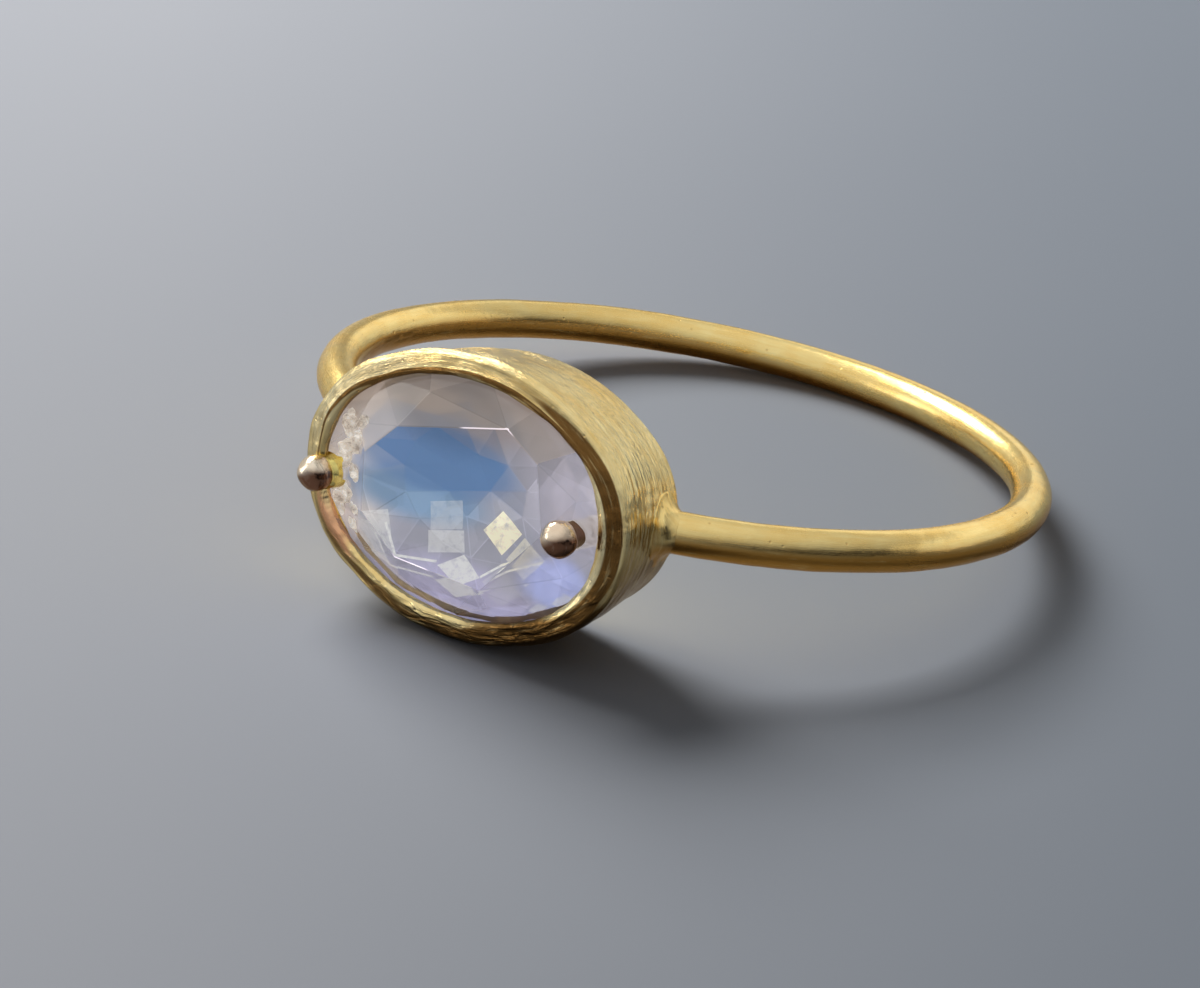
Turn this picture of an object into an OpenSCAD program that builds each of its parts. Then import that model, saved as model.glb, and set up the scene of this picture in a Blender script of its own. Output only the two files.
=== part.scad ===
// Ring with an oval cup setting, a faceted moonstone and two ball-tipped posts.
// The ring lies on its side: the far side of the band and the lower side of the cup touch the floor.
// +Z is up, the stone faces -Y and the far side of the band is at +Y.
// The origin is the centre of the bottom of the box around the lying ring.

/* [Band] */
// Inside diameter of the band, the finger size
finger_d = 17; // [15:0.1:21]
// Thickness of the round band wire
wire_d = 1.04; // [0.9:0.02:1.3]
// Radius of the solder fillet where the wire meets the cup
solder_r = 0.4; // [0.3:0.05:0.45]

/* [Cup] */
// Length of the oval opening that shows the stone
opening_l = 8.02; // [7.6:0.02:8.6]
// Width of the oval opening that shows the stone
opening_w = 5.78; // [5.4:0.02:6.2]
// Width of the flat rolled rim round the opening
rim_w = 0.61; // [0.6:0.01:0.75]
// Depth of the cup from its flat back to the rim
cup_depth = 3.1; // [3:0.05:3.5]
// How much further out the wall stands at the rim than at the back
cup_flare = 0.4; // [0.2:0.02:0.5]
// Thickness of the back plate
plate_t = 0.45; // [0.3:0.05:0.5]
// How far the flat back cuts into the finger circle
back_reach = 1.16; // [1:0.02:1.3]
// How far the cup sits below the middle of the band as the ring lies
cup_drop = 0.15; // [0:0.05:0.3]

/* [Stone] */
// How far the rim is rolled over the edge of the stone
lip_over = 0.15; // [0.1:0.01:0.2]
// Gap between the stone and the metal
fit_gap = 0.05; // [0.03:0.01:0.06]
// Height of the crown, from the girdle up to the table
crown_h = 0.62; // [0.5:0.02:0.76]
// Depth of the pavilion, from the girdle down to its point
pavilion_h = 2; // [1.6:0.05:2.05]
// Thickness of the girdle
girdle_t = 0.14; // [0.08:0.02:0.16]
// Table size as a share of the stone's length and width
table_share = 0.62; // [0.54:0.01:0.66]

/* [Posts] */
// Thickness of the two posts
post_d = 0.84; // [0.78:0.02:0.86]
// How far the right-hand post stands in from the opening's right end
right_in = 0.87; // [0.8:0.01:1]
// Turn of the right-hand post round the stone, away from its long axis
right_turn = 2; // [0:0.5:6]
// Height of the right-hand ball's centre above the rim
right_lift = 0.53; // [0.45:0.01:0.65]
// Diameter of the ball on the right-hand post
right_ball_d = 0.9; // [0.88:0.01:0.98]
// How far the left-hand post stands out past the opening's left end
left_over = 0.03; // [0:0.01:0.05]
// Turn of the left-hand post round the stone, away from its long axis
left_turn = 8; // [4:0.5:10]
// Height of the left-hand ball's centre above the rim
left_lift = 0.25; // [0.2:0.01:0.4]
// Diameter of the ball on the left-hand post
left_ball_d = 0.88; // [0.88:0.01:0.98]

/* [Hidden] */
$fn = 96;
ball_fn = 64;
band_fn = 180;

// Band
wire_r = wire_d / 2;
band_r = finger_d / 2 + wire_r;

// Oval of four arcs: two round ends and two long sides that meet along 3-4-5 triangles
join_x = 0.6;
join_y = 0.8;
half_l = opening_l / 2;
half_w = opening_w / 2;
end_at = (half_l - half_w) * join_x / (join_x + join_y - 1);
side_at = end_at * join_y / join_x;
end_r = half_l - end_at;
side_r = half_w + side_at;
wedge_r = 2 * side_r;

// How far the sides of a filled oval stop short of its round ends
sheet_clip = 0.2;

// Height of the shapes that cut right through the cup
cutter_h = 3 * cup_depth;

// Wall of the cup: offsets from the opening's oval, and heights above the flat back
back_off = rim_w - cup_flare;
back_chamfer = 0.08;
ledge_off = -0.25;
plate_off = ledge_off / 2;
seat_off = lip_over + fit_gap;
outer_round = 0.2;
inner_round = 0.1;
rim_mid = [rim_w - outer_round, cup_depth - outer_round];
rim_far = rim_mid - [back_off, back_chamfer];
flare_angle = atan2(rim_far[0], rim_far[1]) + asin(outer_round / norm(rim_far));
lip_t = 0.2;
lip_slope = 30;
ledge_slope = 34;
lip_under = cup_depth - lip_t;
seat_top = lip_under - seat_off * tan(lip_slope) + fit_gap / 2;
seat_low = seat_top - girdle_t - 2 * fit_gap;
ledge_low = seat_low - (seat_off - ledge_off) * tan(ledge_slope);

// Stone: heights above the cup's flat back
girdle_low = seat_low + fit_gap;
girdle_top = girdle_low + girdle_t;
table_z = girdle_top + crown_h;
point_z = girdle_low - pavilion_h;
stone_half_l = half_l + lip_over;
stone_half_w = half_w + lip_over;
mains = 8;
half_main = 180 / mains;
star_share = 0.8;
lower_share = 0.35;
star_z = table_z - crown_h * (star_share * cos(half_main) - table_share) / (1 - table_share);
lower_z = girdle_low - pavilion_h * (1 - lower_share * cos(half_main));

// Posts: the right one stands on the back plate, the left one in the wall, just over the ledge's edge
right_out = half_l - right_in;
left_out = half_l + left_over;
right_ball_z = cup_depth + right_lift;
left_ball_z = cup_depth + left_lift;
foot_sunk = 0.15;
foot_over_ledge = 0.05;
right_foot_z = plate_t - foot_sunk;
left_foot_z = ledge_low + foot_over_ledge;
hole_d = post_d + 2 * fit_gap;
notch_reach = 1.2;

// Where the cup sits on the band, and where the wire meets its wall
back_at = finger_d / 2 - back_reach;
joint_guess = acos((half_l + back_off) / band_r);
joint_h = band_r * sin(joint_guess) - back_at;
joint_x = half_l + back_off + (joint_h - back_chamfer) * tan(flare_angle);
joint_y = sqrt(band_r * band_r - joint_x * joint_x);
joint_turn = atan2(joint_x, joint_y);
solder_sunk = 0.2;
solder_root = 0.1;
solder_bite = 0.02;

// How the ring lies: a line under the far side of the band and under an edge of the cup
function tilt_over(out, down, edge_r) =
    atan2(down, out + band_r) + asin((edge_r - wire_r) / norm([out + band_r, down]));
rim_tilt = tilt_over(back_at + rim_mid[1], cup_drop + half_w + rim_mid[0], outer_round);
back_tilt = tilt_over(back_at + back_chamfer, cup_drop + half_w + back_off, 0);
lie_tilt = max(rim_tilt, back_tilt);
lift = wire_r + band_r * sin(lie_tilt);

// Depth of the lying ring, which sets the origin in the middle of its box
far_y = band_r * cos(lie_tilt) + wire_r;
function front_of(y, z, radius) = (back_at + z) * cos(lie_tilt) - (y - cup_drop) * sin(lie_tilt) + radius;
near_y = max(
    front_of(right_out * sin(right_turn), right_ball_z, right_ball_d / 2),
    front_of(-left_out * sin(left_turn), left_ball_z, left_ball_d / 2),
    front_of(-half_w - rim_mid[0], rim_mid[1], outer_round)
);
shift_y = (near_y - far_y) / 2;

// Moves a child from the ring's own plane, with the stone at -Y, to where the ring lies
module lying() {
    translate([0, shift_y, lift]) rotate([-lie_tilt, 0, 0]) children();
}

// Moves a child from the cup's own axes, +Z out of the stone, to the ring's plane
module on_cup() {
    translate([0, -back_at, -cup_drop]) rotate([90, 0, 0]) children();
}

// Space between two rays from the origin of a ring, tall enough for any part of the cup
module wedge(ray_1, ray_2) {
    translate([0, 0, -cup_depth])
        linear_extrude(cutter_h)
            polygon([[0, 0], wedge_r * ray_1, wedge_r * (ray_1 + ray_2), wedge_r * ray_2]);
}

// Sweeps a wall profile round the oval: x is the offset from the opening, y the height
module round_the_oval() {
    for (side = [-1, 1]) {
        translate([side * end_at, 0, 0]) intersection() {
            rotate_extrude() translate([end_r, 0]) children();
            wedge([side * join_x, -join_y], [side * join_x, join_y]);
        }
        translate([0, -side * side_at, 0]) intersection() {
            rotate_extrude() translate([side_r, 0]) children();
            wedge([-join_x, side * join_y], [join_x, side * join_y]);
        }
    }
}

// Filled oval at an offset that keeps its edge inside the wall, where its arcs needn't meet exactly
module oval_sheet(off) {
    sides_l = 2 * (end_at + (end_r + off) * join_x - sheet_clip);
    for (side = [-1, 1]) translate([side * end_at, 0]) circle(r = end_r + off);
    intersection() {
        translate([0, side_at]) circle(r = side_r + off);
        translate([0, -side_at]) circle(r = side_r + off);
        square([sides_l, 4 * side_r], center = true);
    }
}

// Section of the wall: back edge, outer side, rolled rim, lip, seat and ledge
module wall_section() {
    polygon([
        [ledge_off, 0],
        [back_off - back_chamfer, 0],
        [back_off, back_chamfer],
        rim_mid + outer_round * [cos(flare_angle), -sin(flare_angle)],
        [rim_w - outer_round, cup_depth],
        [inner_round, cup_depth],
        [0, cup_depth - inner_round],
        [0, lip_under],
        [seat_off, seat_top],
        [seat_off, seat_low],
        [ledge_off, ledge_low]
    ]);
    translate(rim_mid) circle(r = outer_round);
    translate([inner_round, cup_depth - inner_round]) circle(r = inner_round);
}

// Cup with its back plate
module cup() {
    round_the_oval() wall_section();
    linear_extrude(plate_t) oval_sheet(plate_off);
}

// Full circle of wire, open where the cup's hollow is
module band() {
    difference() {
        rotate_extrude($fn = band_fn) translate([band_r, 0]) circle(d = wire_d);
        on_cup() translate([0, 0, -cup_depth]) linear_extrude(cutter_h) oval_sheet(0);
    }
}

// Concave solder fillet round the wire, its root sunk in the wall
module solder_ring() {
    rotate_extrude() difference() {
        translate([wire_r - solder_root, -solder_root])
            square([solder_r + solder_root, solder_r + solder_root]);
        translate([wire_r + solder_r - solder_bite, solder_r]) circle(r = solder_r);
    }
}

// Solder at both joints, filed flush with the cup's back
module solder() {
    intersection() {
        for (side = [-1, 1])
            rotate([0, 0, side * joint_turn])
                translate([0, -band_r, 0])
                    rotate([0, side * 90, 0])
                        translate([0, 0, -solder_sunk]) solder_ring();
        translate([-finger_d, -finger_d - back_at, -finger_d / 2])
            cube([2 * finger_d, finger_d, finger_d]);
    }
}

// Moves a child to the line of the right-hand post, with +X away from the middle of the stone
module at_right() {
    rotate([0, 0, right_turn]) translate([right_out, 0, 0]) children();
}

// Moves a child to the line of the left-hand post, with +X away from the middle of the stone
module at_left() {
    rotate([0, 0, 180 + left_turn]) translate([left_out, 0, 0]) children();
}

// Upright post with a ball on top
module post(foot_z, ball_z, ball_d) {
    translate([0, 0, foot_z]) cylinder(d = post_d, h = ball_z - foot_z, $fn = ball_fn);
    translate([0, 0, ball_z]) sphere(d = ball_d, $fn = ball_fn);
}

// Hole through the stone for one post
module post_hole() {
    cylinder(d = hole_d, h = cutter_h, $fn = ball_fn);
}

// Slot from the left-hand hole out through the stone's end
module end_slot() {
    translate([0, -hole_d / 2, 0]) cube([notch_reach, hole_d, cutter_h]);
}

// Points of one facet ring, as a share of the stone's length and width
function facet_ring(count, share, height, turn) = [
    for (k = [0 : count - 1])
        let (t = turn + 360 * k / count)
        [stone_half_l * share * cos(t), stone_half_w * share * sin(t), height]
];

// Oval brilliant: table, stars, mains and girdle facets above, mains and girdle facets below
module faceted_oval() {
    girdle_n = 2 * mains;
    table = 0;
    star = mains;
    top = 2 * mains;
    low = top + girdle_n;
    lower = low + girdle_n;
    point = lower + mains;
    points = concat(
        facet_ring(mains, table_share, table_z, 0),
        facet_ring(mains, star_share, star_z, half_main),
        facet_ring(girdle_n, 1, girdle_top, 0),
        facet_ring(girdle_n, 1, girdle_low, 0),
        facet_ring(mains, lower_share, lower_z, half_main),
        [[0, 0, point_z]]
    );
    table_face = [[for (k = [mains - 1 : -1 : 0]) table + k]];
    faces = [
        for (k = [0 : mains - 1])
            let (
                next = (k + 1) % mains,
                last = (k + mains - 1) % mains,
                g = 2 * k,
                mid = 2 * k + 1,
                g_next = (2 * k + 2) % girdle_n
            )
            each [
                [table + k, table + next, star + k],
                [table + k, star + k, top + g, star + last],
                [star + k, top + mid, top + g],
                [star + k, top + g_next, top + mid],
                [top + g, top + mid, low + mid, low + g],
                [top + mid, top + g_next, low + g_next, low + mid],
                [lower + k, low + g, low + mid],
                [lower + k, low + mid, low + g_next],
                [low + g, lower + k, point, lower + last]
            ]
    ];
    polyhedron(points = points, faces = concat(table_face, faces), convexity = 2);
}

module band_and_setting() {
    color("gold") lying() {
        band();
        solder();
        on_cup() {
            cup();
            at_right() post(right_foot_z, right_ball_z, right_ball_d);
            at_left() post(left_foot_z, left_ball_z, left_ball_d);
        }
    }
}

module moonstone() {
    color("lavender") lying() on_cup() difference() {
        faceted_oval();
        at_right() post_hole();
        at_left() {
            post_hole();
            end_slot();
        }
    }
}

band_and_setting();
moonstone();
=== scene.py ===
"""Gold ring with an oval cup setting and a faceted moonstone, lying on its side."""
import math

import bmesh
import bpy
from mathutils import Matrix, Vector, noise
from mathutils.bvhtree import BVHTree


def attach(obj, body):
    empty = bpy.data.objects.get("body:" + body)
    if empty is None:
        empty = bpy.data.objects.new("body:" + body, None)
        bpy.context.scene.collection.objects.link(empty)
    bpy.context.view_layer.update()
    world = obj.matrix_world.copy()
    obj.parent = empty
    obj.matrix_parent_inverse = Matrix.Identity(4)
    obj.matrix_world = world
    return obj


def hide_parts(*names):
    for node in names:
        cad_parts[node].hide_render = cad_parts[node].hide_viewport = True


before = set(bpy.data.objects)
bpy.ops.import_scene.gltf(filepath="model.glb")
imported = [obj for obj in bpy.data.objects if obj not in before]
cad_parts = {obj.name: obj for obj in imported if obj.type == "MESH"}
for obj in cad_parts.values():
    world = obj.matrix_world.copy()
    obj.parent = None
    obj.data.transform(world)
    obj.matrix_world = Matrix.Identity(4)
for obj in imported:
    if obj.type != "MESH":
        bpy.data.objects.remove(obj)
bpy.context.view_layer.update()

MM = 0.001

# Band, in mm as the solids have it
FINGER_D = 17.0
WIRE_R = 0.52
BAND_R = FINGER_D / 2 + WIRE_R

# Turn from the cup's middle to where the wire starts, and how far inside the opening's end it is cut, in mm
WIRE_END = math.radians(24.0)
END_IN = 0.03

# Cup, in mm: half sizes of its opening, and the steps of its wall outwards from the opening's edge
HALF_L, HALF_W = 4.01, 2.89
RIM_W = 0.61
CUP_FLARE = 0.4
BACK_OFF = RIM_W - CUP_FLARE
LEDGE_OFF = -0.25
SEAT_OFF = 0.2

# Heights in the cup over its back, in mm
CUP_DEPTH = 3.1
CORNER_Z = CUP_DEPTH - 0.20
LIP_UNDER = 2.9
SEAT_TOP = 2.81
SEAT_LOW = 2.57
LEDGE_LOW = 2.266
PLATE_T = 0.45

# How far the cup's back reaches into the finger's circle, and how far its middle lies under the band's, in mm
BACK_REACH = 1.16
CUP_DROP = 0.15
BACK_AT = FINGER_D / 2 - BACK_REACH

# Section of the cup, from its back over the rim to its plate: offset from the opening, height, rounding
CUP_SECTION = (
    (LEDGE_OFF, 0, 0),
    (BACK_OFF, 0, 0.05),
    (RIM_W, CORNER_Z, 0.08),
    (0.50, CUP_DEPTH - 0.10, 0.05),
    (0.11, CUP_DEPTH + 0.03, 0.05),
    (0, CUP_DEPTH - 0.06, 0.04),
    (0, LIP_UNDER, 0.02),
    (SEAT_OFF, SEAT_TOP, 0),
    (SEAT_OFF, SEAT_LOW, 0),
    (LEDGE_OFF, LEDGE_LOW, 0),
    (LEDGE_OFF, PLATE_T, 0),
)

# Longest edges of the section, in mm, on the rim and below it, and the height from which it is rim
RIM_EDGE, WALL_EDGE = 0.045, 0.11
RIM_FROM = CUP_DEPTH - 0.25

# Shallow groove in the rim's face at the right, in mm: depth, offset, half width, start and run along the cup
GROOVE_DEPTH, GROOVE_OFF, GROOVE_HALF = 0.03, 0.30, 0.18
GROOVE_FROM, GROOVE_RUN = 1.0, 2.2

# Lip pushed in at its right end, in mm: how far, width, start and run along the cup
PUSH, PUSH_WIDTH = 0.14, 0.3
PUSH_FROM, PUSH_RUN = 3.0, 0.8

# Stone, in mm: how far the lip covers it, its half sizes, and heights over the cup's back
LIP_OVER = 0.15
STONE_L, STONE_W = HALF_L + LIP_OVER, HALF_W + LIP_OVER
GIRDLE_LOW = 2.62
GIRDLE_TOP = 2.76
STAR_Z = 3.14
TABLE_Z = 3.38

# Corners of the stone's star facets, as a share of its size
STAR_SHARE = 0.82

# Posts, in mm: distance from the cup's middle, turn in degrees, ball, foot, neck, lean inwards, dents' seed
POSTS = {
    "right": {"out": 3.14, "turn": 2.0, "ball_z": 3.63, "ball_r": 0.45,
              "foot_z": 0.3, "neck_r": 0.32, "lean": 0.0, "seed": 2.2},
    "left": {"out": 4.04, "turn": 188.0, "ball_z": 3.35, "ball_r": 0.44,
             "foot_z": 2.32, "neck_r": 0.42, "lean": 0.16, "seed": 6.6},
}

# Neck of a post: how far under the ball in mm, and its width there as a share of the whole
NECK = ((0.03, 0.97), (0.10, 0.98), (0.25, 0.96), (0.45, 1.0))

# Foot of a post: its width as a share of the neck's, and its bevel in mm
FOOT_SHARE, FOOT_BEVEL = 0.99, 0.02

# How far under the ball a post has its whole lean, in mm
LEAN_RUN = 0.12

# Solder, in mm: radius of its hollow side, how deep its root and its tip run in, lowest height, filed part
SOLDER_R = 0.4
SOLDER_ROOT = 0.1
SOLDER_SINK = 0.012
SOLDER_LOW = 0.14
FILED_IN = 0.004

# Wall where the wire meets it, in mm: step out from the back's edge, height where it starts to lean, slope
JOINT_OUT = 0.08
WALL_FROM = 0.08
WALL_SLOPE = 0.13

# Holes for the posts, in mm: gap round the neck, length, and how far the open one runs out
HOLE_GAP = 0.04
HOLE_LONG = 4.0
HOLE_OPEN = 1.2

# How the ring lies: tilt in degrees, then the moves to the middle of its box and up on to the floor in mm
LIE_TILT = 9.404
SHIFT_Y = 0.930
LIFT = 1.994

# Oval of four arcs that meet along 3-4-5 triangles
JOIN_X, JOIN_Y = 0.6, 0.8
END_AT = (HALF_L - HALF_W) * JOIN_X / (JOIN_X + JOIN_Y - 1)
SIDE_AT = END_AT * JOIN_Y / JOIN_X
END_R = HALF_L - END_AT
SIDE_R = HALF_W + SIDE_AT
END_ANGLE = 2 * math.atan2(JOIN_Y, JOIN_X)
SIDE_ANGLE = math.pi - END_ANGLE
END_ARC = END_R * END_ANGLE
SIDE_ARC = SIDE_R * SIDE_ANGLE
OVAL_ROUND = 2 * (END_ARC + SIDE_ARC)

OFF_CUP = Matrix.Translation((0, -BACK_AT, -CUP_DROP)) @ Matrix.Rotation(math.radians(90), 4, "X")
LYING = Matrix.Translation((0, SHIFT_Y, LIFT)) @ Matrix.Rotation(math.radians(-LIE_TILT), 4, "X")
ON_CUP = LYING @ OFF_CUP

# Map of the gold's strokes, in mm, and where the flat back lies in it, clear of the marks on the rim and wall
STROKES = "along"
BACK_STROKES = 40.0

# Depth of the bumps in the gold and in the chipped stone, in metres
GOLD_RELIEF = 0.00006
STONE_RELIEF = 0.00015


# Shader nodes

def add(tree, kind, **values):
    """New node; values whose names start with in_ go to its sockets, the others to its settings."""
    made = tree.nodes.new(kind)
    for name, value in values.items():
        if name.startswith("in_"):
            made.inputs[name.removeprefix("in_").replace("_", " ")].default_value = value
        else:
            setattr(made, name, value)
    return made


def feed(tree, socket, value):
    """Sets a socket to a number or a colour, or links another node's output to it."""
    if isinstance(value, (int, float)):
        socket.default_value = value
    elif isinstance(value, tuple):
        socket.default_value = (*value, 1)
    elif value is not None:
        tree.links.new(value, socket)


def ramp(tree, factor, stops):
    made = tree.nodes.new("ShaderNodeValToRGB")
    bar = made.color_ramp
    bar.interpolation = "EASE"
    while len(bar.elements) < len(stops):
        bar.elements.new(0.5)
    for element, (place, colour) in zip(bar.elements, stops):
        element.position = place
        element.color = (*colour, 1)
    tree.links.new(factor, made.inputs["Fac"])
    return made.outputs["Color"]


def math_node(tree, operation, first, second=None, third=None, clamp=False):
    made = tree.nodes.new("ShaderNodeMath")
    made.operation = operation
    made.use_clamp = clamp
    for socket, value in zip(made.inputs, (first, second, third)):
        feed(tree, socket, value)
    return made.outputs[0]


def times(tree, first, second):
    return math_node(tree, "MULTIPLY", first, second)


def plus(tree, first, second, clamp=False):
    return math_node(tree, "ADD", first, second, clamp=clamp)


def minus(tree, first, second, clamp=False):
    return math_node(tree, "SUBTRACT", first, second, clamp=clamp)


def higher(tree, first, second):
    return math_node(tree, "MAXIMUM", first, second)


def scaled(tree, value, by, shift, clamp=False):
    return math_node(tree, "MULTIPLY_ADD", value, by, shift, clamp=clamp)


def mix_colour(tree, factor, first, second, blend="MIX"):
    made = tree.nodes.new("ShaderNodeMix")
    made.data_type = "RGBA"
    made.blend_type = blend
    for socket, value in ((made.inputs[0], factor), (made.inputs[6], first), (made.inputs[7], second)):
        feed(tree, socket, value)
    return made.outputs[2]


def noise_at(tree, vector, scale, detail, roughness=0.55, distortion=0.0):
    made = add(tree, "ShaderNodeTexNoise", in_Scale=scale, in_Detail=detail, in_Roughness=roughness,
               in_Distortion=distortion)
    tree.links.new(vector, made.inputs["Vector"])
    return made.outputs["Fac"]


def attribute(tree, name):
    return add(tree, "ShaderNodeAttribute", attribute_name=name).outputs["Fac"]


def stretched(tree, vector, scale, turn=(0, 0, 0), move=(0, 0, 0)):
    made = add(tree, "ShaderNodeMapping", in_Scale=scale, in_Rotation=turn, in_Location=move)
    tree.links.new(vector, made.inputs["Vector"])
    return made.outputs["Vector"]


def streaks(tree, strokes, along, across, detail, roughness=0.55, distortion=0.0):
    """Noise that is finer across the strokes than along them; along and across are its scales."""
    return noise_at(tree, stretched(tree, strokes, (along, across, 1)), 1.0, detail, roughness, distortion)


def patch(tree, place, centre, size, edge):
    """Soft oval mask round a point of the given axes; size is its half sizes, edge how soft it ends."""
    shrink = tuple(1 / half for half in size)
    moved = stretched(tree, place, shrink, move=tuple(-at / half for at, half in zip(centre, size)))
    length = add(tree, "ShaderNodeVectorMath", operation="LENGTH")
    tree.links.new(moved, length.inputs[0])
    fall = add(tree, "ShaderNodeMapRange", interpolation_type="SMOOTHSTEP",
               in_From_Min=1 + edge, in_From_Max=1 - edge)
    tree.links.new(length.outputs["Value"], fall.inputs["Value"])
    return fall.outputs["Result"]


def cup_patch(tree, strokes, centre, size, edge):
    """Mask on the cup's strokes: mm round it, to the right from its lower middle, then mm up to the lip."""
    return patch(tree, strokes, (*centre, 0), (*size, 1), edge)


def new_group(name, inputs, outputs):
    group = bpy.data.node_groups.new(name, "ShaderNodeTree")
    for way, sockets in (("INPUT", inputs), ("OUTPUT", outputs)):
        for label, kind in sockets:
            group.interface.new_socket(label, in_out=way, socket_type="NodeSocket" + kind)
    return group, group.nodes.new("NodeGroupInput"), group.nodes.new("NodeGroupOutput")


def in_mm(tree):
    where = tree.nodes.new("ShaderNodeTexCoord")
    return stretched(tree, where.outputs["Object"], (1000, 1000, 1000))


def new_material(name):
    made = bpy.data.materials.new(name)
    made.use_nodes = True
    return made, made.node_tree, made.node_tree.nodes["Principled BSDF"]


def set_shader(shader, **values):
    for name, value in values.items():
        shader.inputs[name.replace("_", " ")].default_value = value


def add_relief(tree, shader, height, strength, depth):
    relief = add(tree, "ShaderNodeBump", in_Strength=strength, in_Distance=depth)
    tree.links.new(height, relief.inputs["Height"])
    tree.links.new(relief.outputs["Normal"], shader.inputs["Normal"])


# Gold

def worn_gold_group():
    """Colour, roughness and height of hand-finished gold. Place is in mm; Strokes runs along the piece;
    Painted Shade browns it where shade is painted.
    """
    group, into, out = new_group(
        "worn_gold",
        (("Place", "Vector"), ("Strokes", "Vector"), ("Painted Shade", "Float"), ("Light Gold", "Color"),
         ("Deep Gold", "Color"), ("Brown Gold", "Color"), ("Roughness", "Float"), ("Stroke Depth", "Float"),
         ("Dent Depth", "Float")),
        (("Color", "Color"), ("Roughness", "Float"), ("Height", "Float")))
    place, strokes = into.outputs["Place"], into.outputs["Strokes"]
    clouds = noise_at(group, place, scale=0.55, detail=4.0, roughness=0.6)
    grain = noise_at(group, place, scale=6.0, detail=3.0, roughness=0.6)
    long_lines = streaks(group, strokes, along=0.9, across=7.0, detail=4.0, roughness=0.6, distortion=0.3)
    fine_lines = streaks(group, strokes, along=1.8, across=34.0, detail=2.0, roughness=0.7)
    pits = add(group, "ShaderNodeTexVoronoi", feature="F1", in_Scale=2.6, in_Randomness=1.0)
    group.links.new(place, pits.inputs["Vector"])
    pit = minus(group, 1.0, times(group, pits.outputs["Distance"], 8.0), clamp=True)
    tone = plus(group, times(group, clouds, 0.6), times(group, long_lines, 0.4), clamp=True)
    body = mix_colour(group, scaled(group, tone, 3.4, -1.2, clamp=True),
                      into.outputs["Light Gold"], into.outputs["Deep Gold"])
    # Painted shade browns the gold in ragged streaks; its pits are browned too
    ragged = scaled(group, long_lines, 2.2, 0.05, clamp=True)
    brown = times(group, into.outputs["Painted Shade"], ragged)
    brown = higher(group, brown, times(group, pit, 0.45))
    group.links.new(mix_colour(group, brown, body, into.outputs["Brown Gold"]), out.inputs["Color"])
    spread = scaled(group, clouds, 0.20, -0.10)
    spread = plus(group, spread, scaled(group, fine_lines, 0.16, -0.08))
    spread = plus(group, spread, scaled(group, grain, 0.06, -0.03))
    group.links.new(plus(group, into.outputs["Roughness"], spread, clamp=True), out.inputs["Roughness"])
    lines = plus(group, times(group, long_lines, 0.6), times(group, fine_lines, 0.4))
    height = times(group, lines, into.outputs["Stroke Depth"])
    dents = noise_at(group, place, scale=2.0, detail=2.0, roughness=0.5)
    height = plus(group, height, times(group, dents, into.outputs["Dent Depth"]))
    height = minus(group, height, times(group, pit, 0.35))
    group.links.new(height, out.inputs["Height"])
    return group


WORN_GOLD = worn_gold_group()


def gold_material(name, light, deep, brown, roughness, stroke_depth, dent_depth, bump, under,
                  under_from=(0.0, 0.85), follow=True, painted_shade=None, marks=(), tints=()):
    """Worn gold; under is how far painted shade browns its underside, under_from where that starts and where
    it is full.
    """
    made, tree, shader = new_material(name)
    worn = tree.nodes.new("ShaderNodeGroup")
    worn.node_tree = WORN_GOLD
    place = in_mm(tree)
    strokes = place
    if follow:
        along = tree.nodes.new("ShaderNodeUVMap")
        along.uv_map = STROKES
        strokes = along.outputs["UV"]
    # Painted shade: the gold turns brown on its side that faces away from the light
    shaded = add(tree, "ShaderNodeMapRange", interpolation_type="SMOOTHSTEP",
                 in_From_Min=under_from[0], in_From_Max=under_from[1], in_To_Max=under)
    tree.links.new(attribute(tree, "underside"), shaded.inputs["Value"])
    brown_share = shaded.outputs["Result"]
    if painted_shade:
        brown_share = higher(tree, brown_share, painted_shade(tree, strokes))
    for mask, tint_light, tint_deep in tints:
        share = mask(tree, strokes)
        light = mix_colour(tree, share, light, tint_light)
        deep = mix_colour(tree, share, deep, tint_deep)
    for label, value in (("Place", place), ("Strokes", strokes), ("Painted Shade", brown_share),
                         ("Light Gold", light), ("Deep Gold", deep), ("Brown Gold", brown),
                         ("Roughness", roughness), ("Stroke Depth", stroke_depth),
                         ("Dent Depth", dent_depth)):
        feed(tree, worn.inputs[label], value)
    set_shader(shader, Metallic=1.0, Specular_Tint=(0.90, 0.82, 0.68, 1))
    tree.links.new(worn.outputs["Color"], shader.inputs["Base Color"])
    tree.links.new(worn.outputs["Roughness"], shader.inputs["Roughness"])
    height = worn.outputs["Height"]
    for mark in marks:
        height = plus(tree, height, mark(tree, strokes))
    add_relief(tree, shader, height, bump, GOLD_RELIEF)
    return made


def wall_scratches(tree, strokes):
    """Short file strokes round the wall at its right end."""
    slanted = stretched(tree, strokes, (1, 1, 1), turn=(0, 0, 0.12))
    lines = streaks(tree, slanted, along=0.9, across=7.5, detail=2.0, roughness=0.5, distortion=0.2)
    where = cup_patch(tree, strokes, centre=(6.0, 1.35), size=(1.25, 1.0), edge=0.3)
    where = times(tree, where, streaks(tree, strokes, along=1.2, across=0.9, detail=2.0))
    return times(tree, lines, times(tree, where, 5.0))


def rim_dents(tree, strokes):
    """Small dents on the lower side of the rim, from the tool that rolled it."""
    dents = streaks(tree, strokes, along=1.3, across=2.6, detail=2.0, roughness=0.45, distortion=0.8)
    where = cup_patch(tree, strokes, centre=(-0.5, 2.78), size=(5.5, 0.42), edge=0.25)
    return times(tree, dents, times(tree, where, 2.8))


def red_rim(tree, strokes):
    """Reddish patch on the rim at the left."""
    return times(tree, cup_patch(tree, strokes, centre=(-3.6, 2.90), size=(0.9, 0.17), edge=0.35), 0.8)


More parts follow.
